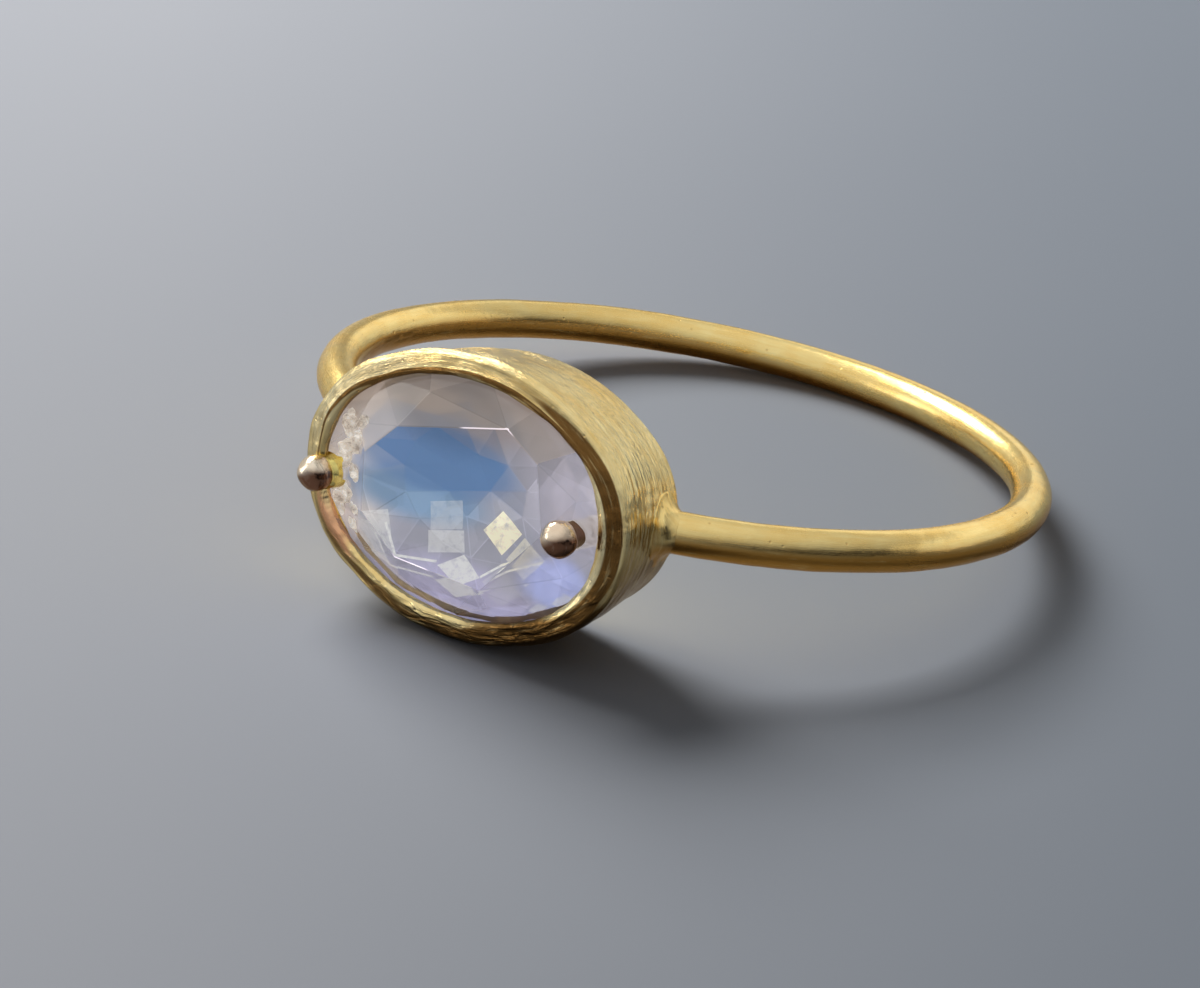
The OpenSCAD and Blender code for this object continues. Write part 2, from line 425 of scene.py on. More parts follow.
def lip_painted_highlight(tree, strokes):
    """Painted highlight, as paler gold: on the inner lip of the rim at the right, and on the rim's face at
    the upper left.
    """
    lip = cup_patch(tree, strokes, centre=(5.3, 3.06), size=(2.0, 0.10), edge=0.3)
    corner = cup_patch(tree, strokes, centre=(-7.2, 2.75), size=(2.0, 0.30), edge=0.4)
    return higher(tree, lip, corner)


def rim_painted_shade(tree, strokes):
    """Painted shade and painted dark reflections, in brown: on the rim's face at the right, below and at the
    top, along its seam, and low on the wall.
    """
    right = cup_patch(tree, strokes, centre=(5.4, 2.745), size=(4.2, 0.235), edge=0.12)
    low = cup_patch(tree, strokes, centre=(0.0, 2.68), size=(4.5, 0.18), edge=0.3)
    jagged = streaks(tree, strokes, along=0.5, across=5.0, detail=2.0, roughness=0.6)
    shift = tree.nodes.new("ShaderNodeCombineXYZ")
    tree.links.new(scaled(tree, jagged, 1.8, -0.9), shift.inputs["X"])
    torn = add(tree, "ShaderNodeVectorMath", operation="ADD")
    tree.links.new(strokes, torn.inputs[0])
    tree.links.new(shift.outputs[0], torn.inputs[1])
    wall = cup_patch(tree, torn.outputs[0], centre=(2.0, 1.05), size=(3.15, 2.1), edge=0.06)
    split = tree.nodes.new("ShaderNodeSeparateXYZ")
    tree.links.new(strokes, split.inputs[0])
    both_sides = tree.nodes.new("ShaderNodeCombineXYZ")
    tree.links.new(math_node(tree, "ABSOLUTE", split.outputs["X"]), both_sides.inputs["X"])
    tree.links.new(split.outputs["Y"], both_sides.inputs["Y"])
    seam = cup_patch(tree, both_sides.outputs[0], centre=(9.4, 2.97), size=(4.6, 0.075), edge=0.2)
    top = cup_patch(tree, both_sides.outputs[0], centre=(10.4, 2.70), size=(4.0, 0.17), edge=0.4)
    brown = seam
    for spot, share in ((right, 1.0), (low, 0.95), (wall, 1.0), (top, 0.42)):
        brown = higher(tree, brown, times(tree, spot, share))
    return brown


# Metal pieces

# Way that the gold's side with painted shade faces: it is browned as if it lay in shade
UNDERSIDE = Vector((0.50, -0.10, -0.86))


def to_object(bm, name, *materials):
    mesh = bpy.data.meshes.new(name)
    bm.to_mesh(mesh)
    bm.free()
    for material in materials:
        mesh.materials.append(material)
    made = bpy.data.objects.new(name, mesh)
    bpy.context.scene.collection.objects.link(made)
    return made


def finish_piece(name, bm, place, materials, sharp=40.0):
    """Makes a piece of a mesh in mm, moved to its place; edges that bend by over sharp degrees stay sharp."""
    bm.transform(Matrix.Scale(MM, 4) @ place)
    bmesh.ops.recalc_face_normals(bm, faces=bm.faces)
    bm.normal_update()
    # How far each vert faces the way of the gold's painted shade
    underside = bm.verts.layers.float.new("underside")
    for vert in bm.verts:
        vert[underside] = vert.normal.dot(UNDERSIDE)
    for face in bm.faces:
        face.smooth = True
    for edge in bm.edges:
        edge.smooth = edge.calc_face_angle(0.0) < math.radians(sharp)
    piece = to_object(bm, name, *materials)
    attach(piece, "root")
    return piece


def rise(value, start, run):
    """0 up to start, 1 from start plus run on, and even in between."""
    return max(0.0, min(1.0, (value - start) / run))


def uneven(bm, amount, size, seed, weight=None, where=lambda co: co):
    """Moves verts along their normals by soft noise, as handwork leaves them; amount and size are in mm."""
    bm.normal_update()
    moves = []
    for vert in bm.verts:
        share = weight(vert.co) if weight else 1.0
        if share:
            soft = noise.noise(where(vert.co) / size + Vector((seed, 0, 0)))
            moves.append((vert, vert.normal * (soft * amount * share)))
    for vert, move in moves:
        vert.co += move


def beside(value, base, whole):
    """The value, moved by a whole round where that brings it nearer to the base."""
    if value - base > whole / 2:
        return value - whole
    if base - value > whole / 2:
        return value + whole
    return value


def make_band(material):
    """Round wire bent to a circle, its ends in the cup's wall."""
    bm = bmesh.new()
    start = (Matrix.Rotation(WIRE_END, 4, "Z") @ Matrix.Translation((0, -BAND_R, 0))
             @ Matrix.Rotation(math.radians(90), 4, "Y"))
    bmesh.ops.create_circle(bm, segments=40, radius=WIRE_R, matrix=start)
    bmesh.ops.spin(bm, geom=bm.verts[:] + bm.edges[:], cent=(0, 0, 0), axis=(0, 0, 1),
                   angle=2 * math.pi - 2 * WIRE_END, steps=420)
    for side in (-1, 1):
        near = [vert for vert in bm.verts if vert.co.y < 0 and vert.co.x * side > 0]
        on_side = set(near)
        near += [part for part in bm.edges[:] + bm.faces[:] if on_side.issuperset(part.verts)]
        bmesh.ops.bisect_plane(bm, geom=near, plane_co=(side * (HALF_L - END_IN), 0, 0),
                               plane_no=(-side, 0, 0), clear_outer=True)
    bmesh.ops.holes_fill(bm, edges=[edge for edge in bm.edges if edge.is_boundary], sides=0)
    uneven(bm, amount=0.014, size=1.6, seed=3.1, weight=lambda co: rise(co.y, start=-7.6, run=1.5))
    uneven(bm, amount=0.006, size=0.5, seed=8.4)
    layer = bm.loops.layers.uv.new(STROKES)
    for face in bm.faces:
        middle = face.calc_center_median()
        base = math.atan2(middle.x, middle.y)
        for loop in face.loops:
            co = loop.vert.co
            turn = beside(math.atan2(co.x, co.y), base, 2 * math.pi)
            out = co.xy.length - BAND_R
            loop[layer].uv = (turn * BAND_R, math.atan2(co.z, out) * WIRE_R)
    finish_piece("gold_band", bm, LYING, (material,))


def oval_place(co):
    """A point's way round the opening's oval from the lower middle, and its offset from the oval, in mm."""
    x, y = co.x, co.y
    over = abs(x) - END_AT
    if over > 0 and abs(y) * JOIN_X <= over * JOIN_Y:
        turn = math.atan2(y, over) + END_ANGLE / 2
        along = SIDE_ARC / 2 + turn * END_R
        off = math.hypot(over, y) - END_R
    elif y < 0:
        turn = math.atan2(abs(x), SIDE_AT - y)
        along = turn * SIDE_R
        off = math.hypot(x, SIDE_AT - y) - SIDE_R
    else:
        turn = math.atan2(abs(x), SIDE_AT + y)
        along = SIDE_ARC / 2 + END_ARC + (SIDE_ANGLE / 2 - turn) * SIDE_R
        off = math.hypot(x, SIDE_AT + y) - SIDE_R
    return (along if x >= 0 else -along), off


def sweep_oval(bm, end_steps, side_steps):
    """Spins a section round the four arcs in turn, from where the lower side meets the right end."""
    arcs = (((END_AT, 0, 0), END_ANGLE, end_steps), ((0, -SIDE_AT, 0), SIDE_ANGLE, side_steps),
            ((-END_AT, 0, 0), END_ANGLE, end_steps), ((0, SIDE_AT, 0), SIDE_ANGLE, side_steps))
    geom = bm.verts[:] + bm.edges[:]
    for centre, angle, steps in arcs:
        spun = bmesh.ops.spin(bm, geom=geom, cent=centre, axis=(0, 0, 1), angle=angle, steps=steps)
        geom = spun["geom_last"]
    bmesh.ops.remove_doubles(bm, verts=bm.verts, dist=0.0005)


def on_rim(co):
    """1 on the rim, and 0 from a little way under it."""
    return rise(co.z, start=2.86, run=0.1)


def on_wall(co):
    """1 on the outside of the wall, and 0 inside the cup and at the edge of its back."""
    return rise(oval_place(co)[1], start=0.1, run=0.06) * rise(co.z, start=0.0, run=0.3)


def round_cup(co):
    """A point's place on a circle about as long as the oval, so that noise follows the cup round."""
    along, off = oval_place(co)
    turn = 2 * math.pi * along / OVAL_ROUND
    return Vector((math.cos(turn) * OVAL_ROUND / 6, math.sin(turn) * OVAL_ROUND / 6, (co.z - off) * 3))


def press_rim(bm):
    """Presses a shallow groove into the rim's face at the right, and the lip's right end inwards."""
    for vert in bm.verts:
        off = oval_place(vert.co)[1]
        if vert.co.z < CORNER_Z:
            continue
        at_right = rise(vert.co.x, GROOVE_FROM, GROOVE_RUN)
        vert.co.z -= GROOVE_DEPTH * at_right * max(0.0, 1 - ((off - GROOVE_OFF) / GROOVE_HALF) ** 2)
        if off < PUSH_WIDTH:
            vert.co.x -= PUSH * rise(vert.co.x, PUSH_FROM, PUSH_RUN) * (1 - off / PUSH_WIDTH)


def make_cup(material):
    """Oval cup with a rolled rim, a lip over the stone, a seat, a ledge and a flat back."""
    bm = bmesh.new()
    verts = [bm.verts.new((END_AT + (END_R + off) * JOIN_X, -(END_R + off) * JOIN_Y, up))
             for off, up, _ in CUP_SECTION]
    for first, second in zip(verts, verts[1:]):
        bm.edges.new((first, second))
    for vert, (_, _, radius) in zip(verts, CUP_SECTION):
        if radius:
            bmesh.ops.bevel(bm, geom=[vert], offset=radius, offset_type="OFFSET", segments=5, profile=0.5,
                            affect="VERTICES", material=-1)
    for _ in range(6):
        long_edges = [edge for edge in bm.edges
                      if edge.calc_length() > (RIM_EDGE if edge.verts[0].co.z > RIM_FROM else WALL_EDGE)]
        if not long_edges:
            break
        bmesh.ops.subdivide_edges(bm, edges=long_edges, cuts=1)
    sweep_oval(bm, end_steps=130, side_steps=120)
    filled = bmesh.ops.holes_fill(bm, edges=[edge for edge in bm.edges if edge.is_boundary], sides=0)["faces"]
    for thickness in (0.15, 0.5):
        bmesh.ops.inset_region(bm, faces=filled, thickness=thickness, use_even_offset=True)
    bmesh.ops.recalc_face_normals(bm, faces=bm.faces)
    uneven(bm, amount=0.040, size=1.3, seed=5.3, weight=on_rim)
    uneven(bm, amount=0.026, size=0.8, seed=1.7, weight=on_rim, where=round_cup)
    uneven(bm, amount=0.018, size=0.38, seed=7.7, weight=on_rim)
    uneven(bm, amount=0.040, size=1.4, seed=9.2, weight=on_wall)
    uneven(bm, amount=0.020, size=0.7, seed=3.2, weight=on_wall, where=round_cup)
    press_rim(bm)
    layer = bm.loops.layers.uv.new(STROKES)
    for face in bm.faces:
        middle = face.calc_center_median()
        on_back = face.normal.z < -0.9 and middle.z < 0.05
        base = oval_place(middle)[0]
        for loop in face.loops:
            co = loop.vert.co
            along, off = oval_place(co)
            if on_back:
                loop[layer].uv = (BACK_STROKES + co.x, co.y)
            else:
                loop[layer].uv = (beside(along, base, OVAL_ROUND), co.z - off)
    wall = BVHTree.FromBMesh(bm)
    return finish_piece("gold_cup", bm, ON_CUP, (material,)), wall


def at_post(side):
    """Line of a post in the cup's axes, with +X away from the middle of the stone."""
    post = POSTS[side]
    return Matrix.Rotation(math.radians(post["turn"]), 4, "Z") @ Matrix.Translation((post["out"], 0, 0))


def make_post(side, material, neck_material):
    """Thick upright post with a worn ball on top, in one piece."""
    post = POSTS[side]
    bm = bmesh.new()
    ball = bmesh.ops.create_uvsphere(bm, u_segments=72, v_segments=44, radius=post["ball_r"])["verts"]
    neck_r = post["neck_r"]
    neck = -math.sqrt(post["ball_r"] ** 2 - neck_r ** 2)
    bmesh.ops.delete(bm, geom=[vert for vert in ball if vert.co.z < neck], context="VERTS")
    rim = [edge for edge in bm.edges if edge.is_boundary]
    foot = post["foot_z"] - post["ball_z"]
    profile = [(neck - down, neck_r * share) for down, share in NECK]
    profile += [(foot / 2 + neck / 2, neck_r * FOOT_SHARE), (foot + FOOT_BEVEL, neck_r * FOOT_SHARE),
                (foot, neck_r - FOOT_BEVEL)]
    for height, width in profile:
        grown = bmesh.ops.extrude_edge_only(bm, edges=rim)["geom"]
        rim = [part for part in grown if isinstance(part, bmesh.types.BMEdge) and part.is_boundary]
        for vert in (part for part in grown if isinstance(part, bmesh.types.BMVert)):
            around = vert.co.xy.normalized() * width
            vert.co = (around.x, around.y, height)
    for vert in bm.verts:
        vert.co.x -= post["lean"] * rise(neck - vert.co.z, start=0.0, run=LEAN_RUN)
    bmesh.ops.holes_fill(bm, edges=[edge for edge in bm.edges if edge.is_boundary], sides=0)
    uneven(bm, amount=0.045, size=0.42, seed=post["seed"], weight=lambda co: 1.0 if co.z > neck else 0.0)
    uneven(bm, amount=0.05, size=0.30, seed=5.1, weight=lambda co: 1.0 if co.z < neck - 0.05 else 0.0)
    for face in bm.faces:
        face.material_index = int(face.calc_center_median().z < neck)
    place = ON_CUP @ at_post(side) @ Matrix.Translation((0, 0, post["ball_z"]))
    finish_piece("gold_post_" + side, bm, place, (material, neck_material), sharp=50)


def make_solder(side, material, wall):
    """Concave fillet of solder between the wire and the wall, filed flush with the cup's back."""
    sign = 1 if side == "right" else -1
    joint_h = math.sqrt(BAND_R ** 2 - (HALF_L + BACK_OFF + JOINT_OUT) ** 2) - BACK_AT
    joint_x = HALF_L + BACK_OFF + (joint_h - WALL_FROM) * WALL_SLOPE
    turn = sign * math.atan2(joint_x, math.sqrt(BAND_R ** 2 - joint_x ** 2))
    joint = (Matrix.Rotation(turn, 4, "Z") @ Matrix.Translation((0, -BAND_R, 0))
             @ Matrix.Rotation(math.radians(sign * 90), 4, "Y"))
    bm = bmesh.new()
    points = [(WIRE_R - SOLDER_ROOT, -SOLDER_ROOT), (WIRE_R + SOLDER_R, -SOLDER_ROOT)]
    steps = 12
    for k in range(steps + 1):
        bend = math.radians(270 - 90 * k / steps)
        out = WIRE_R + SOLDER_R * (1 + math.cos(bend)) - SOLDER_SINK
        points.append((out, SOLDER_R * (1 + math.sin(bend))))
    points.append((WIRE_R - SOLDER_ROOT, SOLDER_R))
    verts = [bm.verts.new((x, 0, z)) for x, z in points]
    edges = [bm.edges.new(pair) for pair in zip(verts, verts[1:] + verts[:1])]
    bmesh.ops.spin(bm, geom=verts + edges, cent=(0, 0, 0), axis=(0, 0, 1), angle=2 * math.pi, steps=96,
                   use_merge=True)
    to_cup = OFF_CUP.inverted() @ joint
    inward = (to_cup.to_3x3() @ Vector((0, 0, -1))).normalized()
    away = 2.5
    for vert in bm.verts:
        start = to_cup @ Vector((vert.co.x, vert.co.y, away))
        start.z = max(start.z, away * -inward.z + SOLDER_LOW)
        hit = wall.ray_cast(start, inward)[0]
        if hit is not None:
            vert.co.z += (to_cup.inverted() @ hit).z
    bm.transform(joint)
    uneven(bm, amount=0.05, size=0.5, seed=4.4 * sign)
    for vert in bm.verts:
        vert.co.y = min(vert.co.y, -BACK_AT - FILED_IN)
    finish_piece("gold_solder_" + side, bm, LYING, (material,), sharp=60)


# Stone

# Order of the finishes on the stone's facets
CROWN_SLOT, BACK_SLOT, TABLE_SLOT, DUSKY_SLOT = 0, 1, 2, 3

# Corners of the table, which isn't quite even, as the stone is cut by hand
TABLE = ((2.5, -0.05), (2.05, 1.6), (1.1, 2.15), (-1.9, 1.3),
         (-2.7, 0.4), (-2.5, -1.05), (-1.35, -1.85), (1.1, -1.9))

# Bevel of the stone's edges, in mm
EDGE_BEVEL = 0.016

# Dusky part of the crown: how far across the stone it starts, in mm, and how that moves up to the right
DUSKY_FROM, DUSKY_SLOPE = 0.8, 0.35

# How fine the pattern is that gives each facet its own tone
TONE_CELLS = 3.7

# Rings of the stone's back: share of its size, depth under the girdle in mm, facets, turn in degrees
BACK_RINGS = ((0.8, 0.74, 16, 11.25), (0.55, 1.40, 16, 0.0), (0.28, 1.78, 8, 22.5))

# Depth of the back's point under the girdle, in mm
BACK_DEPTH = 1.95

# Chips at the stone's left end: place and size
CHIPS = (
    ((-3.45, 0.10, 3.14), 0.38),
    ((-3.15, 0.50, 3.22), 0.34),
    ((-3.5, 0.85, 3.0), 0.34),
    ((-3.05, 1.05, 3.2), 0.2),
    ((-3.0, -0.25, 3.3), 0.22),
    ((-3.3, -0.85, 3.12), 0.36),
    ((-3.5, -1.25, 2.95), 0.3),
    ((-2.85, -1.15, 3.28), 0.2),
    ((-2.95, -1.6, 3.08), 0.24),
)

# Back facets with painted flashes of reflected light: how bright each is, and its corners
FLASHES = (
    (0.30, ((-1.45, -0.70), (-0.65, -0.45), (-0.45, -1.10), (-1.25, -1.35))),
    (0.50, ((-1.30, -1.37), (-0.40, -1.12), (-0.20, -1.60), (-1.10, -1.85))),
    (1.00, ((0.10, -0.95), (0.50, -0.35), (1.20, -0.70), (0.80, -1.35))),
    (0.85, ((-0.75, -2.05), (-0.20, -1.65), (0.45, -2.00), (-0.05, -2.35))),
    (0.55, ((-3.00, -1.35), (-2.40, -1.15), (-1.90, -2.10), (-2.60, -2.05))),
    (0.48, ((0.95, -1.40), (1.30, -0.75), (1.85, -1.00), (1.45, -1.60))),
    (0.22, ((0.55, -2.05), (0.90, -1.60), (1.45, -1.85), (1.05, -2.25))),
    (0.65, ((2.50, -1.80), (2.60, -1.45), (3.00, -1.50), (2.90, -1.85))),
    (0.50, ((1.90, -2.15), (2.05, -1.90), (2.40, -1.90), (2.30, -2.15))),
)

# Painted glints on edges between back facets, from end to end, and their width
BRIGHT_EDGES = (((-2.35, -1.45), (-1.85, -2.12)), ((-1.85, -2.12), (-0.80, -1.98)),
                ((0.45, -1.98), (0.90, -1.55)), ((0.90, -1.55), (1.80, -1.05)))
EDGE_W = 0.06

# How far beyond an outline its cuts run on, in mm
CUT_BEYOND = 1.2

# Painted blue sheen under the table: colour, middle, half sizes, softness, and where it ends on the facets
BLUE = (0.080, 0.190, 0.385)
BLUE_AT, BLUE_SIZE, BLUE_SOFT = (-1.40, 0.40), (2.05, 0.90), 0.18
BLUE_REACH, BLUE_FADE = 1.25, 0.5

# Zones of colour seen in the back: colour, centre, half size, softness
BACK_ZONES = (
    ((0.50, 0.42, 0.36), (-2.6, 1.8), (2.6, 1.1), 0.5),
    ((0.46, 0.38, 0.35), (1.2, 2.3), (1.9, 0.9), 0.5),
    ((0.34, 0.28, 0.24), (-0.9, 2.5), (1.9, 0.5), 0.5),
    ((0.60, 0.58, 0.66), (2.7, 0.8), (1.7, 1.5), 0.5),
    ((0.60, 0.58, 0.80), (0.4, -2.5), (2.8, 0.65), 0.5),
    ((0.86, 0.79, 0.72), (-3.4, -0.3), (1.0, 1.8), 0.5),
    ((0.52, 0.60, 1.00), (2.4, -1.4), (1.1, 0.5), 0.35),
    # Painted sheen: a lighter teal edge of the blue sheen
    ((0.21, 0.35, 0.52), (-1.8, -0.60), (1.7, 0.6), 0.4),
)

# Height of the masks in the back, and half depth of one that runs right through the stone, in mm
BACK_MID = 1.5
THROUGH = 9.0

# Tones of the ground and chipped stone, from its hollows up
GROUND_TONES = (
    (0.33, (0.48, 0.41, 0.35)),
    (0.50, (0.78, 0.71, 0.63)),
    (0.64, (1.0, 0.97, 0.92)),
)

# How strongly the stone bends light
STONE_IOR = 1.52


def cutter_object(bm, name, material):
    bmesh.ops.recalc_face_normals(bm, faces=bm.faces)
    return to_object(bm, name, material)


def hole_cutter(side, open_end, material):
    """Hole for a post with an uneven ground wall; open_end runs it out through the stone's end."""
    bm = bmesh.new()
    radius = POSTS[side]["neck_r"] + HOLE_GAP
    bmesh.ops.create_cone(bm, segments=48, radius1=radius, radius2=radius, depth=HOLE_LONG, cap_ends=True,
                          matrix=Matrix.Translation((0, 0, HOLE_LONG / 2)))
    for vert in bm.verts:
        if open_end and vert.co.x > 0:
            vert.co.x += HOLE_OPEN
    bmesh.ops.subdivide_edges(bm, edges=[edge for edge in bm.edges if edge.calc_length() > 0.5], cuts=14)
    bm.transform(at_post(side) @ Matrix.Translation((-POSTS[side]["lean"], 0, 0)))
    uneven(bm, amount=0.05, size=0.25, seed=1.9)
    return cutter_object(bm, "hole_" + side, material)


def chip_cutter(place, radius, seed, material):
    """Shell-like chip at the stone's edge."""
    bm = bmesh.new()
    bmesh.ops.create_icosphere(bm, subdivisions=3, radius=radius, matrix=Matrix.Translation(place))
    uneven(bm, amount=radius * 0.5, size=radius * 0.6, seed=seed)
    return cutter_object(bm, "chip", material)


def cut_away(bm, materials, cutters):
    """Cuts each cutter from the mesh; returns what is left and its materials: cut walls have the cutter's."""
    made = to_object(bm, "blank", *materials)
    for cutter in cutters:
        step = made.modifiers.new(cutter.name, "BOOLEAN")
        step.operation = "DIFFERENCE"
        step.solver = "EXACT"
        step.object = cutter
        step.material_mode = "TRANSFER"
    seen = made.evaluated_get(bpy.context.evaluated_depsgraph_get())
    left = bmesh.new()
    left.from_mesh(seen.to_mesh())
    order = [slot.material.original for slot in seen.material_slots]
    for each in [made] + cutters:
        bpy.data.objects.remove(each)
    return left, order


def gem_ring(bm, share, height, count, turn):
    """Corners of one ring of facets; share is its part of the stone's size."""
    for k in range(count):
        angle = math.radians(turn + 360 * k / count)
        bm.verts.new((STONE_L * share * math.cos(angle), STONE_W * share * math.sin(angle), height))


def edge_outline(start, end):
    start, end = Vector(start), Vector(end)
    side = (end - start).orthogonal().normalized() * (EDGE_W / 2)
    return tuple(tuple(corner) for corner in (start - side, end - side, end + side, start + side))


def inside(point, corners):
    """Whether a point lies within a convex outline, seen along the stone's depth."""
    turns = [(b[0] - a[0]) * (point.y - a[1]) - (b[1] - a[1]) * (point.x - a[0])
             for a, b in zip(corners, corners[1:] + corners[:1])]
    return all(turn > 0 for turn in turns) or all(turn < 0 for turn in turns)


def cut_outline(bm, corners):
    """Cuts the back's facets along an outline, straight through the stone, and returns those inside it."""
    middle = sum((Vector(corner) for corner in corners), Vector((0, 0))) / len(corners)
    reach = max((Vector(corner) - middle).length for corner in corners)
    for first, second in zip(corners, corners[1:] + corners[:1]):
        near = [face for face in bm.faces if face.material_index == BACK_SLOT
                and min((vert.co.xy - middle).length for vert in face.verts) < reach + CUT_BEYOND]
        geom = list({part for face in near for part in (face, *face.edges, *face.verts)})
        across = (second[1] - first[1], first[0] - second[0], 0)
        bmesh.ops.bisect_plane(bm, geom=geom, plane_co=(*first, 0), plane_no=across)
    return [face for face in bm.faces
            if face.material_index == BACK_SLOT and inside(face.calc_center_median(), corners)]


def make_stone(crown, back, table, dusky, ground):
    """Oval cut stone: eight-sided table, crown facets over the girdle, and a faceted back."""
    bm = bmesh.new()
    for x, y in TABLE:
        bm.verts.new((x, y, TABLE_Z))
    gem_ring(bm, STAR_SHARE, STAR_Z, count=8, turn=22.5)
    gem_ring(bm, 1, GIRDLE_TOP, count=16, turn=0)
    gem_ring(bm, 1, GIRDLE_LOW, count=16, turn=0)
    for share, depth, count, turn in BACK_RINGS:
        gem_ring(bm, share, GIRDLE_LOW - depth, count, turn)
    bm.verts.new((0, 0, GIRDLE_LOW - BACK_DEPTH))
    bmesh.ops.convex_hull(bm, input=bm.verts)
    bmesh.ops.dissolve_limit(bm, angle_limit=math.radians(1.5), verts=bm.verts, edges=bm.edges)
    bmesh.ops.recalc_face_normals(bm, faces=bm.faces)
    bent = [edge for edge in bm.edges if edge.calc_face_angle(0) > math.radians(2)]
    bmesh.ops.bevel(bm, geom=bent, offset=EDGE_BEVEL, offset_type="OFFSET", segments=1, profile=0.5,
                    affect="EDGES", material=-1, clamp_overlap=True)
    for face in bm.faces:
        middle = face.calc_center_median()
        if middle.z < GIRDLE_LOW - 0.01:
            face.material_index = BACK_SLOT
        elif face.normal.z > 0.99:
            face.material_index = TABLE_SLOT
        elif middle.y > DUSKY_FROM + DUSKY_SLOPE * max(0.0, middle.x):
            face.material_index = DUSKY_SLOT
        else:
            face.material_index = CROWN_SLOT
    cutters = [hole_cutter("right", False, ground), hole_cutter("left", True, ground)]
    cutters += [chip_cutter(place, radius, 1.0 + k, ground) for k, (place, radius) in enumerate(CHIPS)]
    bm, order = cut_away(bm, [crown, back, table, dusky], cutters)
    tone = bm.faces.layers.float.new("facet_tone")
    pale = bm.faces.layers.float.new("facet_pale")
    blue = bm.faces.layers.float.new("facet_blue")
    for face in bm.faces:
        middle = face.calc_center_median()
        face[tone] = 0.5 + 0.5 * noise.cell(middle * TONE_CELLS)
        # Each facet's share of the painted blue sheen
        far = math.hypot((middle.x - BLUE_AT[0]) / BLUE_SIZE[0], (middle.y - BLUE_AT[1]) / BLUE_SIZE[1])
        face[blue] = rise(BLUE_REACH - far, start=0.0, run=BLUE_FADE)
    # Painted flashes and glints on the back's facets
    for bright, corners in FLASHES:
        for face in cut_outline(bm, corners):
            face[pale] = bright
    for start, end in BRIGHT_EDGES:
        for face in cut_outline(bm, edge_outline(start, end)):
            face[pale] = 1.0
    # Crown faces along the table's edge take the painted glint line
    for face in bm.faces:
        on_crown = face.material_index in (CROWN_SLOT, DUSKY_SLOT)
        if on_crown and face.calc_center_median().z > TABLE_Z - 0.03:
            face[pale] = 1.0
    return finish_piece("moonstone_cut", bm, ON_CUP, order, sharp=1.5)


def in_cup(tree):
    """The cup's own axes in mm: X along the stone, Y across it, Z out of it."""
    back = ON_CUP.inverted()
    return stretched(tree, in_mm(tree), (1, 1, 1), tuple(back.to_euler()), tuple(back.to_translation()))


def clear_material(name, tint, warm_tint, transmission, glow=0.0):
    """Milky clear stone; transmission is how clear it is, glow how pale its milk is in shade, as a painted
    glow. Glints along the table's edges are painted.
    """
    made, tree, shader = new_material(name)
    place = in_cup(tree)
    haze = noise_at(tree, place, scale=0.9, detail=3.0, roughness=0.6)
    body = mix_colour(tree, haze, tuple(part * 0.95 for part in tint), tint)
    warm = higher(tree, patch(tree, place, centre=(-2.6, 1.8, 3.0), size=(3.2, 1.7, THROUGH), edge=0.6),
                  patch(tree, place, centre=(1.4, 2.4, 3.0), size=(1.9, 1.0, THROUGH), edge=0.6))
    body = mix_colour(tree, warm, body, warm_tint)
    shade = scaled(tree, attribute(tree, "facet_tone"), 0.24, 0.80)
    dim = patch(tree, place, centre=(-0.5, 2.05, 3.2), size=(1.9, 0.85, THROUGH), edge=0.4)
    shade = minus(tree, shade, times(tree, dim, 0.37))
    body = mix_colour(tree, 1.0, body, shade, "MULTIPLY")
    tree.links.new(body, shader.inputs["Base Color"])
    # Painted light: the milk glows as glow says, and glint lines are painted on the table's edges
    milk = mix_colour(tree, glow, (0, 0, 0), body)
    glint = patch(tree, place, centre=(0.5, 2.05, 3.4), size=(0.75, 0.5, THROUGH), edge=0.15)
    low_glint = patch(tree, place, centre=(-0.9, -1.85, 3.4), size=(0.5, 0.3, THROUGH), edge=0.2)
    glint = times(tree, plus(tree, glint, low_glint, clamp=True), attribute(tree, "facet_pale"))
    tree.links.new(mix_colour(tree, glint, milk, (1, 0.88, 0.95)), shader.inputs["Emission Color"])
    set_shader(shader, Emission_Strength=0.8, Roughness=0.03, IOR=STONE_IOR, Transmission_Weight=transmission)
    return made


